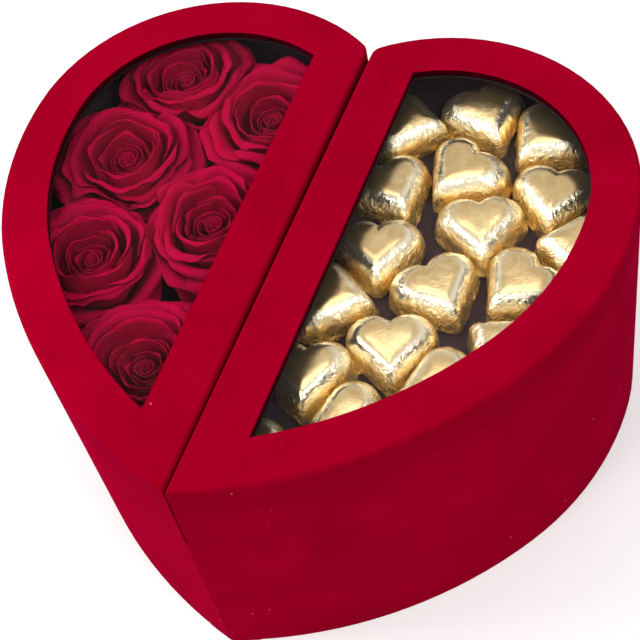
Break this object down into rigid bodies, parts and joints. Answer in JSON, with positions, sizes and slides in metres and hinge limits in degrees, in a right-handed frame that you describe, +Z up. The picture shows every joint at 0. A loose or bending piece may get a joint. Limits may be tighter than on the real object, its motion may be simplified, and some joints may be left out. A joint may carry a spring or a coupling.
{
  "type": "heart gift box",
  "caption": "Heart-shaped velvet gift box in two hinged halves with lift-off windowed lids, holding preserved roses in one half and foil-wrapped chocolate hearts in the other.",
  "frame": {"origin": "on the table under the middle of the closed heart's bounding box", "axes": "+Z up, +Y from the heart's tip to its notch along the seam, +X towards the chocolate half"},
  "size_m": [0.2948, 0.2685, 0.152],
  "materials": {
    "velvet": "short-pile red velvet",
    "grey_board": "matt grey board",
    "black_card": "matt black card",
    "clear_sheet": "clear plastic sheet",
    "magnet": "plated",
    "flower_foam": "matt dry foam",
    "rose_petal": "soft matt petal",
    "gold_foil": "crinkled gold foil"
  },
  "bodies": {
    "rose_base": {"rose_floor": "grey_board", "rose_wall": "grey_board", "rose_velvet": "velvet", "rose_collar": "black_card", "rose_magnets": "magnet", "rose_foam": "flower_foam", "rose_foam_card": "black_card", "rose_1": "rose_petal", "rose_2": "rose_petal", "rose_3": "rose_petal", "rose_4": "rose_petal", "rose_5": "rose_petal", "rose_6": "rose_petal", "tip_hinge": "velvet"},
    "rose_lid": {"rose_lid_top": "grey_board", "rose_lid_wall": "grey_board", "rose_lid_velvet": "velvet", "rose_window": "clear_sheet", "rose_lid_lining": "black_card"},
    "chocolate_base": {"chocolate_floor": "grey_board", "chocolate_wall": "grey_board", "chocolate_velvet": "velvet", "chocolate_collar": "black_card", "chocolate_magnets": "magnet", "chocolate_riser": "black_card", "chocolate_tray": "black_card", "chocolate_1": "gold_foil", "chocolate_2": "gold_foil", "chocolate_3": "gold_foil", "chocolate_4": "gold_foil", "chocolate_5": "gold_foil", "chocolate_6": "gold_foil", "chocolate_7": "gold_foil", "chocolate_8": "gold_foil", "chocolate_9": "gold_foil", "chocolate_10": "gold_foil", "chocolate_11": "gold_foil", "chocolate_12": "gold_foil", "chocolate_13": "gold_foil", "chocolate_14": "gold_foil", "chocolate_15": "gold_foil", "chocolate_16": "gold_foil", "chocolate_17": "gold_foil", "chocolate_18": "gold_foil"},
    "chocolate_lid": {"chocolate_lid_top": "grey_board", "chocolate_lid_wall": "grey_board", "chocolate_lid_velvet": "velvet", "chocolate_window": "clear_sheet", "chocolate_lid_lining": "black_card"}
  },
  "joints": [
    {"name": "halves_hinge", "type": "hinge", "parent": "rose_base", "child": "chocolate_base", "pos_m": [0, -0.13435, 0], "axis": [0, 0, -1], "range_deg": [-0.4, 180], "deforming": ["tip_hinge"]},
    {"name": "rose_lid_lift", "type": "slide", "parent": "rose_base", "child": "rose_lid", "axis": [0, 0, 1], "range_m": [0, 0.06]},
    {"name": "chocolate_lid_lift", "type": "slide", "parent": "chocolate_base", "child": "chocolate_lid", "axis": [0, 0, 1], "range_m": [0, 0.06]}
  ]
}
